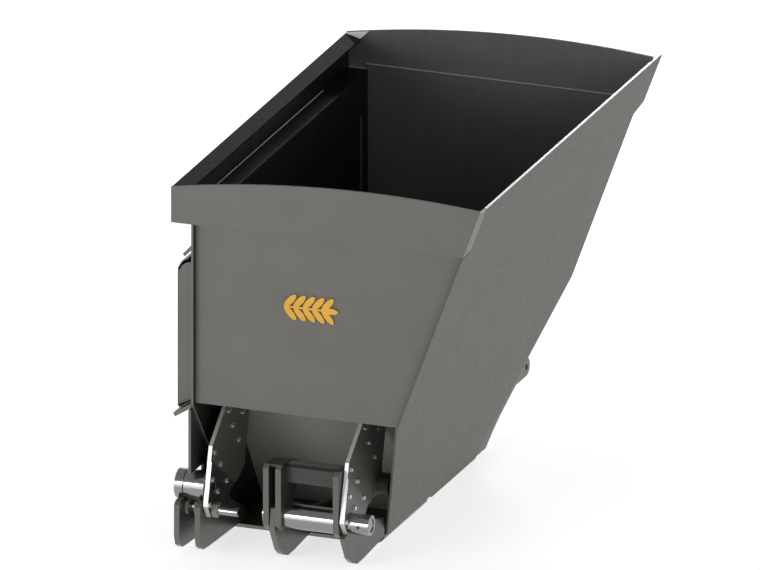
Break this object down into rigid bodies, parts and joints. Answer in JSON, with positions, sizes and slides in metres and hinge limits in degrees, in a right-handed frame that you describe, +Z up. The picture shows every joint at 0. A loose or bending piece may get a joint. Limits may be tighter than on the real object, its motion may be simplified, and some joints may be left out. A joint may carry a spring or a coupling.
{
  "type": "gravity wagon hopper",
  "caption": "Steep-sided grain hopper of a gravity wagon, with an arched rim, a hinged side discharge door, a sloping floor, and front hinge gear with a link frame, roller and adjuster rod.",
  "frame": {"origin": "centre of the base plate's underside, halfway between the front and back walls, on the ground plane", "axes": "+Z up, -Y towards the front with the hinge gear, +X towards the leaning wall, -X towards the discharge door"},
  "size_m": [1.3227, 2.1299, 1.6419],
  "materials": {
    "grey_paint": "satin grey-olive paint",
    "bright_steel": "polished",
    "plated_screws": "zinc plated",
    "emblem_yellow": "semi-gloss yellow"
  },
  "bodies": {
    "hopper": {"adjuster_nuts": "bright_steel", "adjuster_rod": "bright_steel", "back_slope_sheet": "grey_paint", "back_wall": "grey_paint", "base_plate": "grey_paint", "centre_bush": "bright_steel", "centre_lug": "grey_paint", "chute_apron": "grey_paint", "door_cap_strip": "grey_paint", "door_hinge_lugs": "grey_paint", "door_hinge_pins": "plated_screws", "ear_spacer": "grey_paint", "front_emblem": "emblem_yellow", "front_slope_sheet": "grey_paint", "front_wall": "grey_paint", "inner_ear": "grey_paint", "left_bracket": "grey_paint", "left_bracket_bolts": "plated_screws", "left_bracket_doubler": "grey_paint", "left_carrier_plate": "grey_paint", "left_rear_bracket": "grey_paint", "left_stub_boss": "grey_paint", "left_wall": "grey_paint", "outer_ear": "grey_paint", "right_bracket": "grey_paint", "right_bracket_bolts": "plated_screws", "right_bracket_doubler": "grey_paint", "right_lug": "grey_paint", "right_rear_bracket": "grey_paint", "right_stub_boss": "grey_paint", "right_wall": "grey_paint", "rim_back_band": "grey_paint", "rim_corner_filler": "grey_paint", "rim_front_band": "grey_paint", "rim_front_ledge": "grey_paint", "rim_left_band": "grey_paint", "rim_left_ledge": "grey_paint", "roller_axle": "bright_steel", "roller_cap": "bright_steel", "sloping_floor": "grey_paint"},
    "side_door": {"door_skin": "grey_paint", "door_cover": "grey_paint", "door_ribs": "grey_paint", "door_knuckles": "grey_paint"},
    "link_frame": {"link_plate_left": "grey_paint", "link_plate_middle": "grey_paint", "link_plate_right": "grey_paint", "link_tube": "bright_steel", "link_top_cover": "grey_paint", "link_cross_bar": "grey_paint"},
    "hinge_shaft": {"hinge_shaft": "bright_steel", "shaft_collar": "bright_steel", "collar_pin": "plated_screws", "shaft_end_ring": "bright_steel"},
    "roller": {"guide_roller": "bright_steel"}
  },
  "joints": [
    {"name": "door_swing", "type": "hinge", "parent": "hopper", "child": "side_door", "pos_m": [-0.34, 0, 1.262], "axis": [0, 1, 0], "range_deg": [0, 50]},
    {"name": "link_swing", "type": "hinge", "parent": "hopper", "child": "link_frame", "pos_m": [0, -0.918, 0.206], "axis": [1, 0, 0], "range_deg": [0, 60]},
    {"name": "shaft_spin", "type": "hinge", "parent": "hopper", "child": "hinge_shaft", "pos_m": [0, -0.918, 0.206], "axis": [1, 0, 0], "continuous": true},
    {"name": "roller_spin", "type": "hinge", "parent": "hopper", "child": "roller", "pos_m": [-0.318, -0.918, 0.288], "axis": [1, 0, 0], "continuous": true}
  ]
}
